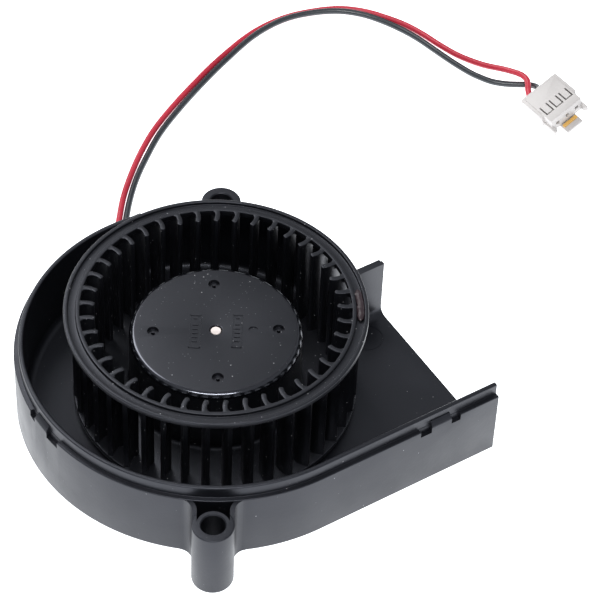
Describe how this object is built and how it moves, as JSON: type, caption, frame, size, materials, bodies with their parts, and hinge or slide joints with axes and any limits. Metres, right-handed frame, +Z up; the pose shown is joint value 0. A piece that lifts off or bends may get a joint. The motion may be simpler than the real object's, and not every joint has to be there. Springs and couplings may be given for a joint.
{
  "type": "centrifugal blower fan",
  "caption": "Small DC centrifugal blower without its upper cover: scroll casing with screw bosses, bladed impeller on a brushless motor, and a two-wire lead with a connector.",
  "frame": {"origin": "on the impeller's axis, in the plane of the casing's underside", "axes": "+Z is up along the impeller's axis, towards the air inlet; +X is the way air leaves the outlet; the lead leaves the casing at the +Y side"},
  "size_m": [0.1384, 0.1205, 0.0236],
  "materials": {
    "casing_plastic": "satin, moulded, near black",
    "wheel_plastic": "semi-gloss, moulded, near black",
    "steel": "drawn steel",
    "magnet": "bonded ferrite, matte dark grey-brown",
    "brass": "turned brass",
    "bronze": "sintered bronze, matte",
    "rubber": "matte black",
    "putty": "matte purple-brown",
    "felt": "fibre, matte brown",
    "lamination": "stacked sheet steel",
    "spool": "natural nylon",
    "copper": "enamelled copper wire",
    "board": "green solder resist",
    "chip": "moulded black epoxy",
    "ceramic": "fired ceramic, brown",
    "wire_red": "red insulation",
    "wire_black": "black insulation",
    "ivory": "ivory nylon",
    "tin": "tin-plated crimp contact"
  },
  "bodies": {
    "base": {"housing_shell": "casing_plastic", "bearing_tube": "brass", "bearing_lower": "bronze", "bearing_upper": "bronze", "bearing_end_cap": "rubber", "stator_core": "lamination", "insulator_lower": "spool", "insulator_upper": "spool", "coil_1": "copper", "coil_2": "copper", "coil_3": "copper", "coil_4": "copper", "circuit_board": "board", "hall_sensor": "chip", "driver_chip": "chip", "capacitor": "ceramic", "lead_red_inner": "wire_red", "lead_black_inner": "wire_black", "wire_red": "wire_red", "wire_black": "wire_black", "connector_housing": "ivory", "terminal_red": "tin", "terminal_black": "tin"},
    "rotor": {"impeller_wheel": "wheel_plastic", "rotor_yoke": "steel", "rotor_magnet": "magnet", "shaft": "steel", "shaft_insert": "brass", "shaft_clip": "steel", "thrust_washer": "felt", "oil_washer": "felt", "balance_putty": "putty"}
  },
  "joints": [
    {"name": "impeller_spin", "type": "hinge", "parent": "base", "child": "rotor", "pos_m": [0, 0, 0], "axis": [0, 0, 1], "continuous": true}
  ]
}
